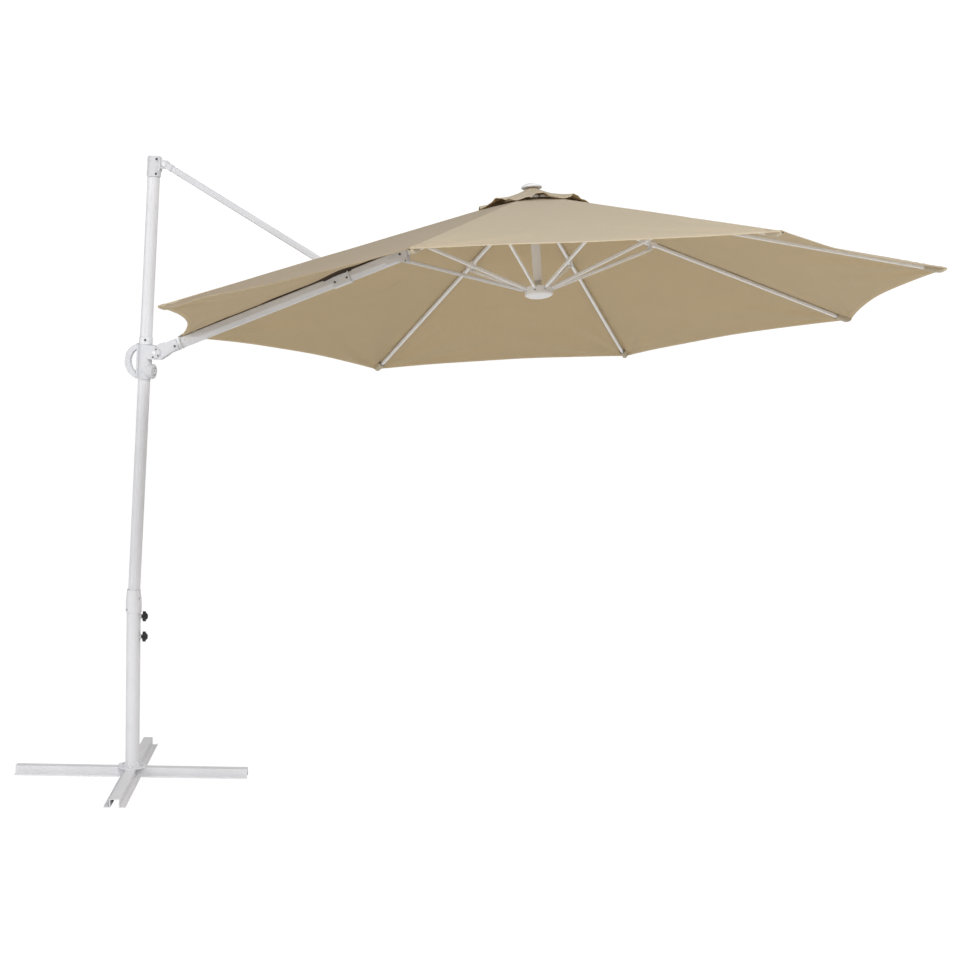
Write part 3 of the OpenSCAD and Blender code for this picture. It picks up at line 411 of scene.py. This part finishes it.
# the trim's dark under colour falls on the inside of the pockets: painted shade
CLOTH_TRIM = cloth("canopy_trim", base=(0.66, 0.57, 0.42), under=(0.10, 0.075, 0.05),
                   lit=(0.56, 0.46, 0.32), sewn=False)
STRAP = webbing("white_webbing", base=(0.74, 0.73, 0.70))
# dark sheet under the slit's free edges: painted shade
SLIT_SHADE_CLOTH = webbing("slit_painted_shade", base=(0.085, 0.062, 0.045))
MATERIALS["strap"] = webbing_unmapped("white_webbing_ring", base=(0.74, 0.735, 0.71))
MATERIALS["canopy_cloth"] = CLOTH_TRIM


# ---------------------------------------------------------------- surfaces of the CAD pieces
# pieces whose white finish takes the lighter copy, painted light
PAINTED_LIGHT_PREFIXES = ("rib", "stretcher", "pole", "runner", "inner")
# pieces whose finish takes the darker copy of the white powder coat, painted shade
PAINTED_SHADE_NODES = ("strut_tube", "strut_head", "mast_cap", "handle", "slider", "crank_housing",
               "elbow")


def dress(node_name, look):
    if look in ("frame_white", "plastic_white") and node_name.split("_")[0] in PAINTED_LIGHT_PREFIXES:
        look = "frame_with_painted_light"
    if node_name in PAINTED_SHADE_NODES:
        look = "frame_with_painted_shade"
    mesh = NODES[node_name].data
    mesh.materials.clear()
    mesh.materials.append(MATERIALS[look])
    for poly in mesh.polygons:
        poly.material_index = 0


def paint(node_name, look, keep):
    """Gives another surface to the faces whose centre (metres, shared frame) satisfies keep."""
    node = NODES[node_name]
    node.data.materials.append(MATERIALS[look])
    index = len(node.data.materials) - 1
    for poly in node.data.polygons:
        if keep(node.matrix_world @ poly.center):
            poly.material_index = index


ARM_INVERSE = np.linalg.inv(ARM)


def on_arm(centre):
    """A shared-frame point as millimetres in the arm frame."""
    return (ARM_INVERSE @ np.append(np.array(centre) * 1000, 1.0))[:3]


def along_arm(centre):
    return on_arm(centre)[0]


def in_slider_bore(centre):
    x, _, z = on_arm(centre)
    return math.hypot(x, z) < 9.5


for subpart in frame["record"]["subparts"]:
    dress(subpart["node"], subpart["material_slot"])

# node, look, which face centres take it; later rows win
for row in (
    ("base_bolts", "frame_white", lambda c: c.z < 0.2),
    ("base_bolts", "steel", lambda c: c.z > 0.2),
    ("arm_screws", "frame_white",
     lambda c: not (1090 < along_arm(c) < 1122) and along_arm(c) > 60),
    ("arm_screws", "steel", lambda c: along_arm(c) <= 110),
    ("slider_pin", "frame_white", in_slider_bore),
    ("mast_screws", "screw_dark", lambda c: c.z > 1.5),
    ("top_pin", "frame_white", lambda c: True),
):
    paint(*row)


# ---------------------------------------------------------------- mesh helpers
LOWER_ONLY = np.array([0.0, 1.0])[:, None, None]  # attribute: 0 on the first grid, 1 on the second


def grid(*parts):
    return np.stack(np.broadcast_arrays(*parts), -1)


def unit(x):
    return np.clip(x, 0, 1)


def bell(x, centre, width):
    return np.exp(-(((x - centre) / width) ** 2))


def shell_faces(rows, columns, closed):
    """Quads of a closed shell between two grids, the second numbered after the first.
    With closed, the last column joins the first."""
    below = rows * columns
    last_row = below - columns
    spans = columns if closed else columns - 1
    faces = []
    for i in range(rows - 1):
        for j in range(spans):
            beside = (j + 1) % columns
            a, b = i * columns + j, i * columns + beside
            d, c = a + columns, b + columns
            faces.append((a, b, c, d))
            faces.append((below + d, below + c, below + b, below + a))
    for j in range(spans):
        beside = (j + 1) % columns
        a, b = last_row + j, last_row + beside
        faces.append((beside, j, below + j, below + beside))
        faces.append((a, b, below + b, below + a))
    if not closed:
        for i in range(rows - 1):
            a, b = i * columns, (i + 1) * columns
            faces.append((a, b, below + b, below + a))
            a, b = a + columns - 1, b + columns - 1
            faces.append((b, a, below + a, below + b))
    return faces


def outward(verts, faces):
    """Turns the faces round if the shell's volume comes out negative."""
    a, b, c, d = (verts[corner] for corner in np.array(faces).T)
    volume = np.sum(a * (np.cross(b, c) + np.cross(c, d)))
    return faces if volume > 0 else [face[::-1] for face in faces]


def sheet(name, material, body, frame_matrix, top, bottom, uv, attributes=None,
          sharp=50, closed=False):
    """Closed shell between two grids of millimetre points (rows, columns, 3).
    uv serves both grids; an attribute broadcasts to (2, rows, columns)."""
    rows, columns = top.shape[:2]
    verts = np.vstack([put(frame_matrix, side.reshape(-1, 3)) for side in (top, bottom)])
    faces = outward(verts, shell_faces(rows, columns, closed))
    mesh = bpy.data.meshes.new(name)
    mesh.from_pydata([tuple(point) for point in verts], [], faces)
    mesh.validate()
    piece = bpy.data.objects.new(name, mesh)
    scene.collection.objects.link(piece)
    mesh.materials.append(material)
    layer = mesh.uv_layers.new(name="weave")
    corners = np.zeros(len(mesh.loops), np.int64)
    mesh.loops.foreach_get("vertex_index", corners)
    both = np.broadcast_to(uv, (2,) + uv.shape).reshape(-1, 2).astype(np.float32)
    layer.data.foreach_set("uv", both[corners].ravel())
    for key, value in (attributes or {}).items():
        values = np.broadcast_to(value, (2, rows, columns)).ravel().astype(np.float32)
        mesh.attributes.new(key, "FLOAT", "POINT").data.foreach_set("value", values)
    for poly in mesh.polygons:
        poly.use_smooth = True
    mesh.update()
    mesh.set_sharp_from_angle(angle=math.radians(sharp))
    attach(piece, body)
    return piece


def gather(piece):
    """Gives the piece its own copy of its mesh."""
    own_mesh(piece)


def half_surface(surface, ridge, side, s, t, steps):
    """Points and upward normals of the half next to a ridge, t counted from that ridge.
    Both halves of a panel read the same surface, so they meet exactly along its middle."""
    other = neighbour(ridge, side)

    def at(s, t):
        if side > 0:
            return surface(ridge, other, s, t)
        return surface(other, ridge, s, 1 - t)

    ds, dt = steps
    normals = np.cross(at(s + ds, t) - at(s - ds, t), at(s, t + dt) - at(s, t - dt))
    normals /= np.linalg.norm(normals, axis=-1, keepdims=True)
    normals[normals[..., 2] < 0] *= -1
    return at(s, t), normals


def weave_uv(points, ridge, side, stretch=1.0):
    """Weave coordinates along and across the middle of the panel."""
    middle = AZIMUTH[ridge] + HALF_SECTOR * side
    return grid(points @ radial(middle) * MM * stretch, points @ sideways(middle) * MM)


# ---------------------------------------------------------------- canopy cloth
HEM_R = 1500.0
INNER_R = 100
ARM_TIP_Z = -388.0  # height of the cloth's corner on the arm ridge
TIP_Z = -HEM_R * math.tan(math.radians(RIB_FALL))
HALF_SPAN = math.sin(math.radians(HALF_SECTOR))  # half a panel's width per unit of radius
SCALLOP = 56.0 / (HEM_R * math.cos(math.radians(HALF_SECTOR)))
# rows by distance from the hem, columns by distance from the ridge, both close at the sewing
HEM_ROWS = np.array([0, 0.9, 2.5, 7, 12, 17, 19, 20.8, 22.4, 24.2, 28, 34, 42, 52])
SEAM_COLUMNS = np.array([0, 1.2, 2.4, 3.9, 5.4, 6.6, 7.6, 9.5, 12.5])
PAINTED_SHADE_HALVES = ((8, 1), (1, -1))  # (ridge, side) of the panel between ridges 8 and 1, whose outer face takes painted shade
SLIT_START = 540

RNG = np.random.default_rng(7)
# two fold fans per ridge tip: gain, phase, coarse and fine waves per radian
FOLDS = {
    ridge: [(RNG.uniform(0.75, 1.25), RNG.uniform(0, 6.28), RNG.uniform(11, 15),
             RNG.uniform(24, 31)) for _ in range(2)]
    for ridge in range(1, RIDGES + 1)
}


def tip(ridge):
    return HEM_R * radial(AZIMUTH[ridge]) + UP * (ARM_TIP_Z if ridge == ARM_RIDGE else TIP_Z)


def tension_folds(points, corner, gain, phase, coarse, fine):
    """Height of folds fanning out from a corner, fading out at the ridge."""
    distance = np.linalg.norm(points - corner, axis=-1) + 1e-6
    ridge_line = corner / np.linalg.norm(corner)
    angle = np.arccos(np.clip(((corner - points) @ ridge_line) / distance, -1, 1))
    fade = unit(angle / 0.16) ** 1.5 * unit((1.15 - angle) / 0.4)
    height = gain * (3.4 * bell(distance, 210, 230) + 1.5 * bell(distance, 620, 420))
    ripple = np.sin(coarse * angle + phase)
    ripple = ripple + 0.45 * np.sin(fine * angle + 1.7 * phase + distance / 190)
    return height * fade * ripple


def panel_surface(ridge_a, ridge_b, s, t):
    """The cloth's lower face. s runs from the apex to the hem, t from ridge a to ridge b."""
    tip_a, tip_b = tip(ridge_a), tip(ridge_b)
    hump = 4 * t * (1 - t)
    chord = tip_a + (tip_b - tip_a) * t[..., None]
    points = chord * (s * (1 - hump * SCALLOP * s ** 3))[..., None]
    normal = np.cross(tip_a, tip_b)
    normal /= np.linalg.norm(normal)
    if normal[2] < 0:
        normal = -normal
    offset = -12.0 * hump * s ** 1.6  # sag
    offset = offset + tension_folds(points, tip_a, *FOLDS[ridge_a][0])
    offset = offset + tension_folds(points, tip_b, *FOLDS[ridge_b][1])
    # slow unevenness, nil on the ridges
    uneven = 1.6 * np.sin(5.3 * s + 2.1 * ridge_a + 3.0 * t)
    uneven = uneven + 0.9 * np.sin(13 * t + 4 * s + ridge_a)
    offset = offset + hump * s ** 2 * uneven
    return points + normal * offset[..., None]


def slit(radius):
    """Half the gap between the two free edges along the arm."""
    opening = unit((radius - SLIT_START) / 60)
    opening = opening * opening * (3 - 2 * opening)
    return opening * (3.0 + 23.0 * bell(radius, 805, 62))


def half_panel(ridge, side):
    """The half of a panel next to a ridge; side +1 is towards the larger azimuth."""
    radii = np.concatenate([HEM_R - HEM_ROWS, np.linspace(HEM_R - 64, INNER_R, 62)])[::-1]
    s = (radii / HEM_R)[:, None]
    width = s * HEM_R * HALF_SPAN
    seam_edge = SEAM_COLUMNS[-1]
    spread = np.linspace(1 / 25.0, 1, 25) ** 1.12
    from_ridge = np.hstack([np.tile(SEAM_COLUMNS, (len(s), 1)),
                            seam_edge + (width - seam_edge) * spread])
    t = from_ridge / width * 0.5
    s = np.repeat(s, t.shape[1], 1)
    points, normals = half_surface(panel_surface, ridge, side, s, t, steps=(1e-4, 1e-4))
    radius = s * HEM_R
    across = sideways(AZIMUTH[ridge]) * side
    seam = from_ridge
    if ridge == ARM_RIDGE:
        gap = slit(radius)
        points = points + across * (gap * np.exp(-from_ridge / 150.0))[..., None]
        # the free edges stand a little proud and ripple
        ripple = 1.2 + 1.4 * np.sin(radius / 41.0 + side) + 0.8 * np.sin(radius / 17.0)
        points = points + UP * (unit(gap / 6) * np.exp(-from_ridge / 60.0) * ripple)[..., None]
        # past this radius the seam attribute is a little wider spaced
        seam = np.where(radius > 560, from_ridge * 0.9, from_ridge)
    if (ridge, side) == (8, 1):
        # the corner is pulled down beside the rib end
        points = points + UP * (-12.0 * bell(from_ridge, 70, 60) * s ** 6)[..., None]
    hem = HEM_R - radius
    hem_band = unit((23.3 - hem) / 1.8)
    felled = unit((7.1 - from_ridge) / 0.9)
    above = 1.35 + 0.75 * hem_band + 0.8 * felled
    below = 0.55 * hem_band
    rounding = unit(hem / 0.9) ** 0.5
    top = points + normals * (above * rounding + 0.35 * (1 - rounding))[..., None]
    bottom = points - normals * (below * rounding)[..., None]
    # the halves of the panel between ridges 8 and 1 are marked for painted shade on their outer
    # face
    attributes = {"hem": hem, "seam": seam, "inner": LOWER_ONLY,
                  "panel_painted_shade": 1.0 if (ridge, side) in PAINTED_SHADE_HALVES else 0.0}
    half = sheet("canopy_%d_%s" % (ridge, side_name(side)), CLOTH, body_of(ridge), CANOPY,
                 top, bottom, weave_uv(points, ridge, side, stretch=1.053), attributes)
    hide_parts("canopy")
    gather(half)


for ridge in AZIMUTH:
    for side in (1, -1):
        half_panel(ridge, side)


def slit_shade_strip(side):
    """Dark strip hanging under a free edge of the slit along the arm: a sheet of painted shade
    over the gap above the arm.
    """
    start, end = 590, 1478
    depth, thickness, strip_width = 15.0, 0.9, 18
    radius = np.linspace(start, end, 130)[:, None]
    w = np.linspace(0, 1, 5)  # from the cloth edge down
    drop = depth * unit((radius - start) / 60) * unit((end - radius) / 90)
    across = np.array([0.0, -1.0, 0.0]) * side
    lean = slit(radius) + 0.6 + 9.0 * (1 - w) ** 2
    height = 0.2 - drop * w + 0.5 * np.sin(radius / 23.0) * w
    along = tip(ARM_RIDGE) * (radius / HEM_R)[..., None]
    top = along + across * lean[..., None] + UP * height[..., None]
    shade_strip = sheet("closure_tape_%s" % side_name(side), SLIT_SHADE_CLOTH, "arm", CANOPY,
                 top, top + across * thickness, grid(radius * MM, w * strip_width * MM))
    gather(shade_strip)


for side in (1, -1):
    slit_shade_strip(side)


# ---------------------------------------------------------------- vent cap
VENT_R = 230.0
VENT_Z = 21.6
VENT_SLOPE = math.tan(math.radians(18.5))


def vent_surface(ridge_a, ridge_b, r, t):
    """The cap's surface: r is the radius along a ridge, t runs from ridge a to ridge b."""
    end_a, end_b = (radial(AZIMUTH[ridge]) - UP * VENT_SLOPE for ridge in (ridge_a, ridge_b))
    chord = end_a + (end_b - end_a) * t[..., None]
    scallop = 4 * t * (1 - t) * 0.035 * (r / VENT_R) ** 2
    points = chord * (r * (1 - scallop))[..., None] + UP * VENT_Z
    # the hem lifts between the ridges, dips at them and flutters
    middle = np.sin(math.pi * t)
    wave = 11.0 * middle ** 2 - 9.0 * np.cos(math.pi * t) ** 6
    wave = wave + 5.4 * np.sin(4 * math.pi * t + 1.1 * ridge_a) * middle
    wave = wave + 1.8 * np.sin(10 * math.pi * t + ridge_a) * middle
    growth = unit((r - 70) / (VENT_R - 70)) ** 2.0
    return points + UP * (growth * wave + 9.0 * bell(r, 0, 36.0))[..., None]


def vent_half(ridge, side):
    radii = np.concatenate([np.linspace(46, 205, 24),
                            [209, 213, 214.8, 218, 222, 226, 228.6, 229.4, VENT_R]])
    r, t = np.meshgrid(radii, np.linspace(0, 0.5, 22), indexing="ij")
    points, normals = half_surface(vent_surface, ridge, side, r, t, steps=(0.2, 1e-3))
    hem = VENT_R - r
    seam = r * np.sin(np.radians(SECTOR * t))
    hem_band = unit((15.4 - hem) / 1.6)
    felled = unit((7.1 - seam) / 2.0)
    rounding = unit(hem / 0.8) ** 0.5
    above = (1.2 + 0.6 * hem_band + 0.7 * felled)[..., None]
    top = points + normals * above * (0.3 + 0.7 * rounding)[..., None]
    bottom = points - normals * (0.4 * hem_band * rounding)[..., None]
    # the hem distance is scaled so that the stitches sit closer to the edge
    attributes = {"hem": hem * 1.35, "seam": seam, "inner": LOWER_ONLY}
    half = sheet("vent_%d_%s" % (ridge, side_name(side)), CLOTH, body_of(ridge), CANOPY,
                 top, bottom, weave_uv(points, ridge, side), attributes)
    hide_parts("vent_cap")
    gather(half)


def vent_crown():
    """Centre of the vent cap, a ring with a small hole."""
    r = np.concatenate([[14.6], np.linspace(18, 62, 12)])[:, None]
    steps = 12  # per panel
    t = np.linspace(0, 1, steps, endpoint=False)[None, :]
    points = np.concatenate([vent_surface(ridge, neighbour(ridge, 1), r, t)
                             for ridge in sorted(AZIMUTH, key=AZIMUTH.get)], axis=1)
    turns = np.arange(RIDGES * steps) / steps
    from_ridge = np.abs((turns + 0.5) % 1 - 0.5) * SECTOR
    crown = sheet("vent_centre", CLOTH, "crown", CANOPY, points + UP * 2.3, points + UP * 0.9,
                  points[..., :2] * MM, {"hem": 60.0, "seam": np.radians(from_ridge) * r},
                  closed=True)
    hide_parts("vent_cap")


for ridge in AZIMUTH:
    for side in (1, -1):
        vent_half(ridge, side)
vent_crown()


# ---------------------------------------------------------------- pockets at the rib ends
def pocket(ridge):
    """Doubled cloth under a corner, open towards the crown; the rib end sits in it."""
    rib = CANOPY @ rot("Z", AZIMUTH[ridge]) @ shift(0, 0, -10) @ rot("Y", RIB_FALL)
    stations = np.array([1488, 1492, 1500, 1512, 1524, 1536, 1546, 1554, 1560, 1563.5])
    x = stations[:, None]
    u = (x - x[0]) / (x[-1] - x[0])
    half_width = 11.5 - 1.6 * u - 6.6 * unit((u - 0.72) / 0.28) ** 1.6
    depth = 20.5 - 1.5 * u - 13.5 * unit((u - 0.70) / 0.30) ** 1.5
    angle = np.linspace(0, math.pi, 25)
    cosine, sine = np.cos(angle), np.sin(angle)
    squareness = 0.62
    flare = 1.5 * np.abs(cosine) ** 6
    wobble = 0.35 * np.sin(x / 9.0 + 3 * angle) * sine

    def wall(x, inset):
        y = (half_width + flare - inset) * np.sign(cosine) * np.abs(cosine) ** squareness
        return grid(x, y, 9.45 - (depth - inset) * sine ** squareness + wobble)

    # the pocket's inside face takes the trim's dark under colour, painted shade in the pocket
    sheet("tip_pocket_%d" % ridge, CLOTH_TRIM, "rib_%d" % ridge, rib,
          wall(x, inset=0.0), wall(np.minimum(x, 1562.0), inset=1.3),
          grid(x * MM, np.linspace(0, 0.06, 25)), {"inner": LOWER_ONLY}, sharp=45)


for ridge in AZIMUTH:
    if ridge != ARM_RIDGE:
        pocket(ridge)


# ---------------------------------------------------------------- corner straps
def corner_strap(side):
    """Flat webbing that turns back under itself, near the lower end of the arm."""
    width, thickness, y = 9.0, 1.1, side * 11.0
    # x, y, z in the rolled arm frame
    path = np.array([
        [150, y * 1.15, 30.5], [138, y * 1.1, 28.6], [127, y, 26.4], [117.5, y, 24.6],
        [113.8, y, 23.4], [116.5, y, 22.45], [125, y, 22.2]])
    for _ in range(3):  # corner cutting smooths the path
        cut = [path[0]]
        for a, b in zip(path[:-1], path[1:]):
            cut += [a * 0.75 + b * 0.25, a * 0.25 + b * 0.75]
        path = np.array(cut + [path[-1]])
    across = np.array([0.0, 1.0, 0.0])
    tangent = np.gradient(path, axis=0)
    tangent /= np.linalg.norm(tangent, axis=1, keepdims=True)
    normal = np.cross(tangent, across)
    normal /= np.linalg.norm(normal, axis=1, keepdims=True)
    offsets = np.linspace(-0.5, 0.5, 7) * width
    profile = thickness / 2 * (1 - np.abs(np.linspace(-1, 1, 7)) ** 6 * 0.6)
    middle = path[:, None, :] + across * offsets[None, :, None]
    swell = normal[:, None, :] * profile[None, :, None]
    lengths = np.linalg.norm(np.diff(path, axis=0), axis=1)
    run = np.concatenate([[0], np.cumsum(lengths)]) * MM
    sheet("corner_strap_%s" % side_name(side), STRAP, "arm", ROLLED_ARM,
          middle + swell, middle - swell, grid(run[:, None], offsets * MM))


for side in (1, -1):
    corner_strap(side)


# ---------------------------------------------------------------- floor, light, camera
def build_floor():
    """White floor that looks almost evenly bright to the camera and diffuse to other rays."""
    bpy.ops.mesh.primitive_plane_add(size=160, location=(0, 0, -0.0006))
    floor = bpy.context.object
    floor.name = "floor"
    s = material_shader("floor_white")
    mottle = s.noise(s.object_coords(), scale=1.4, detail=3.0)
    colour = s.mix(mottle, rgba((0.90, 0.90, 0.90)), rgba((0.93, 0.93, 0.93)))
    matt = s.node("ShaderNodeBsdfDiffuse", {"Color": colour}).outputs[0]
    bright = s.node("ShaderNodeEmission", {"Color": WHITE, "Strength": 1.06}).outputs[0]
    seen = s.blend(0.93, matt, bright)
    to_camera = s.node("ShaderNodeLightPath").outputs["Is Camera Ray"]
    floor.data.materials.append(s.finish(s.blend(to_camera, matt, seen)))


def build_world():
    """White surroundings, brighter to the camera than as a light."""
    scene.world = bpy.data.worlds.new("studio")
    s = Shader(scene.world)
    lighting, backdrop = (
        s.node("ShaderNodeBackground", {"Color": WHITE, "Strength": strength}).outputs[0]
        for strength in (0.42, 1.05))
    to_camera = s.node("ShaderNodeLightPath").outputs["Is Camera Ray"]
    s.finish(s.blend(to_camera, lighting, backdrop), "ShaderNodeOutputWorld")


def area_light(name, location, target, size, power):
    light = bpy.data.lights.new(name, "AREA")
    light.shape = "DISK"
    light.size = size
    light.energy = power
    lamp = bpy.data.objects.new(name, light)
    lamp.location = location
    lamp.rotation_mode = "QUATERNION"
    lamp.rotation_quaternion = (Vector(target) - Vector(location)).to_track_quat("-Z", "Y")
    scene.collection.objects.link(lamp)


def build_camera():
    data = bpy.data.cameras.new("view")
    data.sensor_width = 36.0
    data.lens = 67.77
    data.clip_start = 0.05
    data.clip_end = 300
    camera = bpy.data.objects.new("view", data)
    scene.collection.objects.link(camera)
    aim = rot("Z", 14.06) @ rot("X", -6.39) @ rot("Y", -1.72)
    right, forward, up = aim[:3, :3].T
    pose = Matrix(np.column_stack([right, up, -forward]).tolist()).to_4x4()
    pose.translation = Vector((3.1542, -6.7823, 2.1006))
    camera.matrix_world = pose
    scene.camera = camera


build_floor()
build_world()
area_light("key", location=(4.6, -5.4, 6.0), target=(1.2, 0, 1.7), size=3.8, power=380)
area_light("fill", location=(-5.0, -6.5, 2.4), target=(0.3, 0, 1.4), size=4.0, power=190)
area_light("rim", location=(2.0, 6.5, 6.0), target=(1.4, 0, 1.8), size=4.0, power=90)
build_camera()
scene.view_settings.view_transform = "Standard"
scene.view_settings.look = "None"
